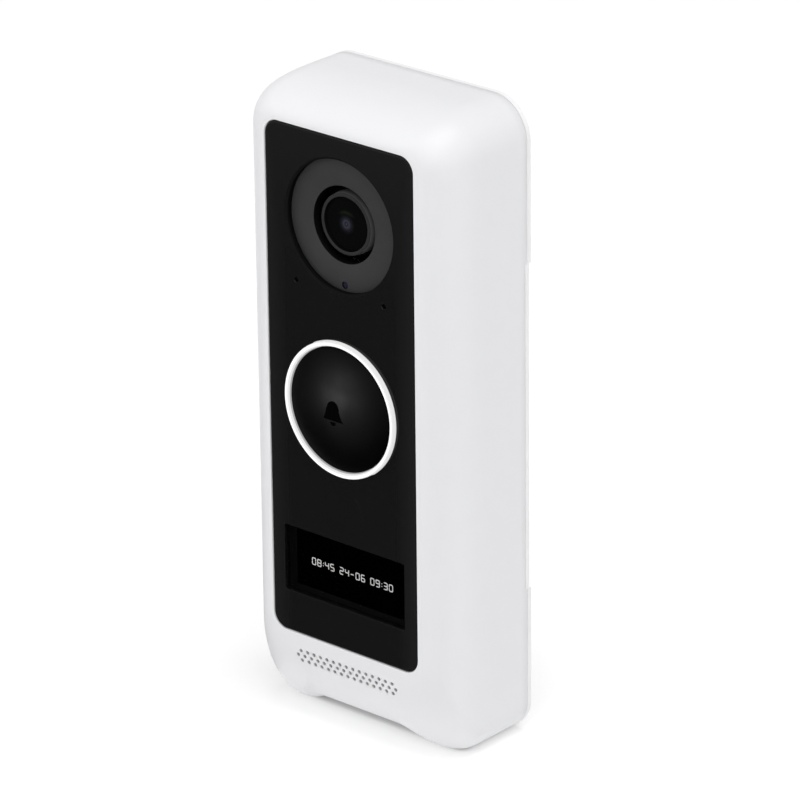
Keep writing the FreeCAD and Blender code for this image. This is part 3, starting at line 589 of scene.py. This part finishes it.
def rear_ring(points, y_back):
    """Points on the rear edge, which steps forward along the sides."""
    ring = []
    for x, z in points:
        relieved = abs(x) > 24.5 and RELIEF_LOW <= z <= RELIEF_HIGH
        y = y_back - (RELIEF if relieved else 0)
        ring.append(Vector((x * MM, y * MM, z * MM)))
    return ring


def build_housing():
    """One closed skin: the opening for the panel, the outside, the rear edge and the hollow inside."""
    gap, bevel = 0.1, 0.06
    low, high, half = PANEL_LOW - gap, PANEL_HIGH + gap, PANEL_X + gap
    opening = outline_box(17.75, 21.1, 127.6, 2.0)
    seat = outline_box(half, low, high, 3.4)
    rings = [[place(x, INNER_WALL, z) for x, z in opening]]
    rings.append([place(x, SEAT_DEPTH, z) for x, z in opening])
    rings.append([place(x, SEAT_DEPTH, z) for x, z in seat])
    rings.append([place(x, 0.10, z) for x, z in seat])
    mouth = outline_box(half + bevel, low - bevel, high + bevel, 3.4 + bevel)
    rings.append([place(x, 0.02, z) for x, z in mouth])
    depths = [SIDE_REACH * (1 - math.cos(math.pi / 2 * i / 26)) for i in range(1, 27)]
    depths += [10.8, 11.4, 11.9, 13.0, 14.2, 15.4, 16.4, 17.3, 19.0, 21.0, 23.0]
    for t in depths:
        rings.append([place(x, t, z) for x, z in case_section(t)])
    full = REAR - FRONT
    rings.append(rear_ring(case_section(full), REAR - 0.05))
    rings.append(rear_ring(case_section(full, 0.04), REAR))
    cavity = outline_box(24.8, 3.9, 133.6, 6.0)
    rings.append(rear_ring(cavity, REAR))
    rings.append([place(x, CAVITY_STEP, z) for x, z in cavity])
    nose = outline_box(22.6, 7.6, 130.9, 8.0)
    rings.append([place(x, CAVITY_STEP, z) for x, z in nose])
    rings.append([place(x, INNER_WALL, z) for x, z in nose])
    return loft("case_front", rings, PAINTS["white_case"], closed=True, angle=40)


def grille_cutters():
    """Three staggered rows of speaker holes."""
    profile = [(0, -2), (GRILLE_HOLE, -2), (GRILLE_HOLE, 4.6), (0, 4.6)]
    holes = []
    for row in range(3):
        count = 16 if row == 1 else 15
        for i in range(count):
            x = GRILLE_PITCH * (i - (count - 1) / 2)
            # Each hole's wall takes the grey painted shade.
            holes.append(lathe("cutter", profile, PAINTED_SHADE_HOLE_WALL, x, GRILLE_TOP - GRILLE_ROW * row, 24))
    return merged("cutters", holes)


housing = build_housing()
carve(housing, [grille_cutters()])
adopt(housing, "case", ["front_housing"])


# ------------------------------------------------------------------ front panel

CAMERA_HOLE, BUTTON_HOLE, PIR_HOLE, MICROPHONE_HOLE = 13.8, 14.4, 5.51, 0.5
MICROPHONE_X, MICROPHONE_Z = 11.45, 96.8
OPENING_HALF, OPENING_TALL = 16.0, 7.2


def front_panel():
    """The glossy slab with a rolled edge, its round holes and the opening for the display."""
    glass = PAINTS["black_panel"]
    edge = [(0.95, 0.0), (0.6, 0.015), (0.35, 0.05), (0.15, 0.12), (0.04, 0.22), (0.0, 0.36), (0.0, 1.55)]
    made = plate("black_front", PANEL_X, PANEL_LOW, PANEL_HIGH, 3.3, edge + [(0.05, 1.6)], glass, 16)
    cutters = [hole_cutter(CAMERA_HOLE, 0, 3, 0, LENS_Z, 160, 0.4, HOLE_EDGE)]
    cutters.append(hole_cutter(BUTTON_HOLE, 0, 3, 0, BUTTON_Z, 160, 0.03, INK))
    cutters.append(hole_cutter(PIR_HOLE, 0, 3, 0, PIR_Z, 96, 0.004, glass))
    for x in (-MICROPHONE_X, MICROPHONE_X):
        cutters.append(hole_cutter(MICROPHONE_HOLE, 0, 3, x, MICROPHONE_Z, 32, 0.08, glass))
    rings = []
    for wider, t in ((0.08, -1.0), (0.08, 0.0), (0.0, 0.08), (0.0, 3.0)):
        tall = OPENING_TALL + wider
        points = rounded_rect(OPENING_HALF + wider, SCREEN_Z - tall, SCREEN_Z + tall, 0.4, 6)
        rings.append([place(x, t, z) for x, z in points])
    cutters.append(loft("cutter", rings, glass))
    return carve(made, cutters)


adopt(front_panel(), "case", ["front_panel"])
window = plate(
    "display_cover", SCREEN_HALF, SCREEN_Z - SCREEN_TALL, SCREEN_Z + SCREEN_TALL, 0.35,
    [(0.06, 0.02), (0.0, 0.08), (0.0, 0.95), (0.05, 1.0)], PAINTS["clear_window"], 6,
)
adopt(window, "case", ["display_window"])
pir = lathe(
    "motion_window", [(0, 0.0), (3.0, 0.0), (5.49, 0.0), (5.5, 0.01), (5.5, 1.6), (0, 1.6)],
    PAINTS["dark_window"], 0, PIR_Z, 96,
)
adopt(pir, "case", ["pir_window"])


def display_surround():
    """A black frame whose opening narrows towards the display."""
    outer = rounded_rect(17.4, SCREEN_Z - 8.7, SCREEN_Z + 8.7, 1.0, 8)
    rings = [[place(x, 3.4, z) for x, z in outer], [place(x, 1.65, z) for x, z in outer]]
    slope = [(15.95, 7.15, 1.65), (15.9, 7.1, 1.70), (14.55, 6.35, 1.95), (14.45, 6.25, 2.03)]
    for half, tall, t in slope + [(14.45, 6.25, 2.05)]:
        points = rounded_rect(half, SCREEN_Z - tall, SCREEN_Z + tall, 0.3, 8)
        rings.append([place(x, t, z) for x, z in points])
    back = rounded_rect(15.6, SCREEN_Z - 7.4, SCREEN_Z + 7.4, 0.3, 8)
    rings += [[place(x, 2.05, z) for x, z in back], [place(x, 3.4, z) for x, z in back]]
    return loft("display_surround", rings, PAINTS["black_frame"], closed=True, angle=25)


adopt(display_surround(), "case", ["display_frame"])

SEGMENTS = {
    "0": "abcdef", "1": "bc", "2": "abged", "3": "abgcd", "4": "fgbc", "5": "afgcd", "6": "afgedc",
    "7": "abc", "8": "abcdefg", "9": "abcdfg", "-": "g",
}
BARS = {
    "a": ((0, 2), (1, 2)), "b": ((1, 2), (1, 1)), "c": ((1, 1), (1, 0)), "d": ((0, 0), (1, 0)),
    "e": ((0, 1), (0, 0)), "f": ((0, 2), (0, 1)), "g": ((0, 1), (1, 1)),
}


def bar(mesh, a, b, half, t):
    """A flat bar with pointed ends between two points."""
    along = Vector((b[0] - a[0], b[1] - a[1])).normalized()
    across = Vector((-along.y, along.x)) * half
    start, end = Vector(a), Vector(b)
    points = [start, start + along * half + across, end - along * half + across, end]
    points += [end - along * half - across, start + along * half - across]
    mesh.faces.new([mesh.verts.new(place(p.x, t, p.y)) for p in points])


def digit_line(text, left, base, tall, wide, pitch, t):
    """Digits of seven bars each, with colons, dashes and spaces between them."""
    mesh = bmesh.new()
    x = left
    for mark in text:
        if mark == " ":
            x += pitch * 0.75
        elif mark == ":":
            for z in (0.3, 0.7):
                bar(mesh, (x - 0.02, base + tall * z), (x + 0.24, base + tall * z), 0.11, t)
            x += pitch * 0.45
        else:
            for name in SEGMENTS[mark]:
                a, b = [(x + across * wide, base + up * tall / 2) for across, up in BARS[name]]
                bar(mesh, a, b, 0.10, t)
            x += pitch
    return finish_mesh("display_digits", mesh, DIGITS)


digits = digit_line("08:45 24-06 09:30", -10.3, SCREEN_Z - 0.85, 1.42, 0.90, 1.43, 2.0)
adopt(digits, "case", [])


# ------------------------------------------------------------------ camera

SENSOR_Z = LENS_Z - 12.6
RING_BORE_LIMIT = 8.02
ring_profile = [(8.0, 3.4), (8.0, 1.8), (8.04, 1.70), (8.15, 1.65), (12.0, 1.65), (16.2, 1.65), (16.2, 3.4)]
lens_ring = lathe("camera_ring", ring_profile, PAINTS["grey_ring"], 0, LENS_Z, 192)
lens_ring.data.materials.append(PAINTS["black_barrel"].mat)
for polygon in lens_ring.data.polygons:
    centre = polygon.center / MM
    if math.hypot(centre.x, centre.z - LENS_Z) < RING_BORE_LIMIT:
        polygon.material_index = 1
carve(lens_ring, [hole_cutter(0.75, 1.65, 4.0, 0, SENSOR_Z, 40, 0.02, PAINTS["black_barrel"])])
adopt(lens_ring, "case", ["lens_ring"])
sensor = lathe(
    "light_sensor_lens", [(0, 1.80), (0.35, 1.81), (0.6, 1.84), (0.7, 1.95), (0.7, 4.6), (0, 4.6)],
    PAINTS["sensor_face"], 0, SENSOR_Z, 40,
)
adopt(sensor, "case", ["light_sensor"])

barrel_profile = [
    (5.6, 2.25), (5.66, 2.12), (5.78, 2.06), (5.95, 2.05), (6.20, 2.05), (6.33, 2.09), (6.4, 2.2), (6.6, 4.2),
    (7.0, 4.2), (7.0, 15.0), (3.8, 15.0), (3.8, 9.2), (4.6, 9.2), (4.6, 5.25), (5.56, 5.2),
]
barrel = lathe("camera_barrel", barrel_profile, PAINTS["black_barrel"], 0, LENS_Z, 160)
barrel.data.materials.append(BEZEL.mat)
barrel.data.materials.append(BARREL_WALL.mat)
for polygon in barrel.data.polygons:
    centre = polygon.center / MM
    if centre.y - FRONT < 4.1 and math.hypot(centre.x, centre.z - LENS_Z) > 5.7:
        polygon.material_index = 1 if centre.y - FRONT < 2.25 else 2
adopt(barrel, "case", ["lens_barrel"])


def dome_profile(edge_radius, apex_t, edge_t, count):
    """Points of a spherical cap from its middle to its edge."""
    rise = edge_t - apex_t
    sphere = (edge_radius**2 + rise**2) / (2 * rise)
    limit = math.asin(edge_radius / sphere)
    points = []
    for i in range(count + 1):
        angle = limit * i / count
        points.append((sphere * math.sin(angle), apex_t + sphere * (1 - math.cos(angle))))
    points[0] = (0, apex_t)
    return points


front_lens = lathe(
    "camera_glass", dome_profile(5.5, 2.3, 2.6, 30) + [(5.5, 5.2), (0, 5.2)], painted_lens_highlights(), 0, LENS_Z, 128,
)
adopt(front_lens, "case", ["front_lens"])


# ------------------------------------------------------------------ bell button

light_profile = [
    (13.2, 3.0), (13.2, -0.25), (13.28, -0.55), (13.42, -0.82), (13.60, -1.00), (13.80, -1.09), (13.95, -1.1),
    (14.08, -1.07), (14.19, -0.98), (14.27, -0.86), (14.3, -0.72), (14.3, 1.7), (16.4, 1.7), (16.4, 3.0),
]
light_ring = lathe("ring_light_guide", light_profile, GLOW, 0, BUTTON_Z, 192)
for paint in (GLOW_SHOULDER, GLOW_INSIDE, GLOW_OUTSIDE):
    light_ring.data.materials.append(paint.mat)
for polygon in light_ring.data.polygons:
    centre = polygon.center / MM
    facing = abs(polygon.normal.y)
    if facing < 0.35:
        polygon.material_index = 2 if math.hypot(centre.x, centre.z - BUTTON_Z) < 13.7 else 3
    elif facing < 0.8:
        polygon.material_index = 1
adopt(light_ring, "case", ["light_ring"])

MARK_LIFT = 0.012
APEX = span("button_cap", 1)[0] - FRONT + MARK_LIFT
DOME_RADIUS, DOME_EDGE = 12.95, -0.354
DOME_RISE = DOME_EDGE - APEX
DOME_SPHERE = (DOME_RADIUS**2 + DOME_RISE**2) / (2 * DOME_RISE)
cap_profile = dome_profile(DOME_RADIUS, APEX, DOME_EDGE, 30)
cap_profile += [(13.05, -0.30), (13.1, -0.18), (13.1, 3.3), (13.8, 3.3), (13.8, 4.1), (11.4, 4.1)]
cap_profile += [(11.4, 1.4), (2.0, 1.4), (2.0, 5.15), (0, 5.15)]
cap = lathe("bell_button_dome", cap_profile, PAINTS["black_button"], 0, BUTTON_Z, 192)
adopt(cap, "bell_button", ["button_cap"])


def dome_depth(x, z):
    """Depth of the dome's surface at x, z from the button's middle."""
    return APEX + DOME_SPHERE - math.sqrt(DOME_SPHERE**2 - x * x - z * z)


def bell_mark():
    """A small printed bell, following the dome."""
    right = [(0.0, 2.55), (0.55, 2.45), (1.1, 2.1), (1.45, 1.5), (1.55, 0.7), (1.65, 0.0), (1.95, -0.75)]
    right += [(2.5, -1.35), (2.5, -1.65), (0.0, -1.65)]
    left = [(-x, z) for x, z in reversed(right[1:-1])]
    turns = [math.pi + math.pi * i / 10 for i in range(11)]
    clapper = [(0.75 * math.cos(turn), -1.95 + 0.75 * math.sin(turn)) for turn in turns]
    shapes = [right + left, clapper]
    mesh = bmesh.new()
    for shape in shapes:
        mesh.faces.new([mesh.verts.new((x, 0, z)) for x, z in shape])
    bmesh.ops.triangulate(mesh, faces=mesh.faces)
    bmesh.ops.subdivide_edges(mesh, edges=mesh.edges, cuts=3, use_grid_fill=True)
    for vert in mesh.verts:
        x, z = vert.co.x, vert.co.z
        vert.co = place(x, dome_depth(x, z) - MARK_LIFT, BUTTON_Z + z)
    return finish_mesh("bell_mark", mesh, INK)


mark = bell_mark()
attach(mark, "bell_button")


# ------------------------------------------------------------------ stage, lights and camera


def footprint_distance(paint):
    """How far a place on the floor is from the flat part of the base, 41.4 by 14.3 mm."""
    offset = paint.node("ShaderNodeVectorMath", operation="SUBTRACT")
    offset.inputs[1].default_value = (0, 7.25 * MM, 0)
    folded = paint.node("ShaderNodeVectorMath", operation="ABSOLUTE")
    beyond = paint.node("ShaderNodeVectorMath", operation="SUBTRACT")
    beyond.inputs[1].default_value = (20.7 * MM, 7.15 * MM, 0)
    outside = paint.node("ShaderNodeVectorMath", operation="MAXIMUM")
    outside.inputs[1].default_value = (0, 0, 0)
    length = paint.node("ShaderNodeVectorMath", operation="LENGTH")
    paint.link(paint.coords, offset.inputs[0])
    for source, target in ((offset, folded), (folded, beyond), (beyond, outside), (outside, length)):
        paint.link(source.outputs["Vector"], target.inputs[0])
    return length.outputs["Value"]


def floor():
    """A pale floor that gives off some light, less of it close to the base, which paints a contact shadow
    there.
    """
    paint = Paint("studio_floor", (0.69, 0.69, 0.69), 0.6, Specular_IOR_Level=0.0)
    paint.mottle(0.002, 400.0)
    paint.set("Emission Color", (1, 1, 1, 1))
    # The glow drops from 2.8 mm to 1 mm outside the base: a painted contact shadow.
    glow = paint.spread(footprint_distance(paint), 0.12, 0.365, (1.0 * MM, 2.8 * MM))
    paint.link(glow, paint.shader.inputs["Emission Strength"])
    mesh = bmesh.new()
    size = 12.0
    verts = [mesh.verts.new((x * size, y * size, 0)) for x, y in ((-1, -1), (1, -1), (1, 1), (-1, 1))]
    mesh.faces.new(verts)
    made = finish_mesh("studio_floor", mesh, paint)


def dark_reflection_sheet():
    """A black sheet in front of the object, on the left, that only reflections see: it paints dark
    reflections into the glossy parts.
    """
    paint = Paint("dark_reflection_cloth", (0.004, 0.004, 0.004), 0.95, Specular_IOR_Level=0.0)
    paint.mottle(0.2, 50.0)
    mesh = bmesh.new()
    for left, right, near, far in ((-2.4, 0.35, -2.6, -0.016), (-2.4, -0.03, -0.016, 0.03)):
        corners = ((left, near), (right, near), (right, far), (left, far))
        mesh.faces.new([mesh.verts.new((x, y, 0.001)) for x, y in corners])
    made = finish_mesh("dark_reflection_sheet", mesh, paint)
    for kind in ("camera", "diffuse", "transmission", "volume_scatter", "shadow"):
        setattr(made, "visible_" + kind, False)


def area_light(name, position, target, size, power):
    """A square lamp, in metres and watts."""
    data = bpy.data.lights.new(name, "AREA")
    data.shape = "RECTANGLE"
    data.size = size
    data.size_y = size
    data.energy = power
    made = bpy.data.objects.new(name, data)
    made.location = position
    made.rotation_euler = (Vector(target) - Vector(position)).to_track_quat("-Z", "Y").to_euler()
    bpy.context.scene.collection.objects.link(made)
    return made


def world(strength):
    scene_world = bpy.data.worlds.new("studio")
    scene_world.use_nodes = True
    background = scene_world.node_tree.nodes["Background"]
    background.inputs["Color"].default_value = (1, 1, 1, 1)
    background.inputs["Strength"].default_value = strength
    bpy.context.scene.world = scene_world


floor()
dark_reflection_sheet()
world(0.385)
TARGET = (0, 0, 0.07)
area_light("key", (0.72, -0.85, 1.15), TARGET, 1.0, 7.8)
area_light("top", (0.44, 0.05, 1.97), TARGET, 1.2, 19.6)
fill = area_light("fill", (-1.25, -0.85, 0.45), TARGET, 1.0, 6.8)
fill.visible_glossy = False
CAMERA_AT = Vector((0.65539, -0.74075, 0.48053))


def glint_place(x, z, distance):
    """Where a light has to be for a visitor at the camera to see it in the button's dome at x, z (mm)."""
    spot = place(x, dome_depth(x, z), BUTTON_Z + z)
    normal = Vector((x / DOME_SPHERE, -1.0, z / DOME_SPHERE)).normalized()
    ray = (spot - CAMERA_AT).normalized()
    return spot + (ray - 2 * ray.dot(normal) * normal) * distance, spot


spot_light, spot = glint_place(2.0, 3.8, 0.33)
glint = area_light("glint", spot_light, spot, 0.03, 4.3)
glint.visible_diffuse = False
glint.visible_camera = False
shone_on = bpy.data.collections.new("glint_receivers")
shone_on.objects.link(cap)
glint.light_linking.receiver_collection = shone_on

AZIMUTH, ELEVATION, ROLL = math.radians(41.279), math.radians(22.526), math.radians(-0.638)
camera_data = bpy.data.cameras.new("camera")
camera_data.lens = 241.46
camera_data.sensor_width = 36.0
camera_data.clip_start = 0.05
camera_data.clip_end = 60.0
camera = bpy.data.objects.new("camera", camera_data)
right = Vector((math.cos(AZIMUTH), math.sin(AZIMUTH), 0))
level = math.cos(ELEVATION)
back = Vector((math.sin(AZIMUTH) * level, -math.cos(AZIMUTH) * level, math.sin(ELEVATION)))
up = back.cross(right)
tilted_right = right * math.cos(ROLL) + up * math.sin(ROLL)
tilted_up = up * math.cos(ROLL) - right * math.sin(ROLL)
turned = Matrix((tilted_right, tilted_up, back)).transposed().to_4x4()
camera.matrix_world = Matrix.Translation(CAMERA_AT) @ turned
bpy.context.scene.collection.objects.link(camera)
bpy.context.scene.camera = camera
bpy.context.scene.view_settings.view_transform = "Standard"
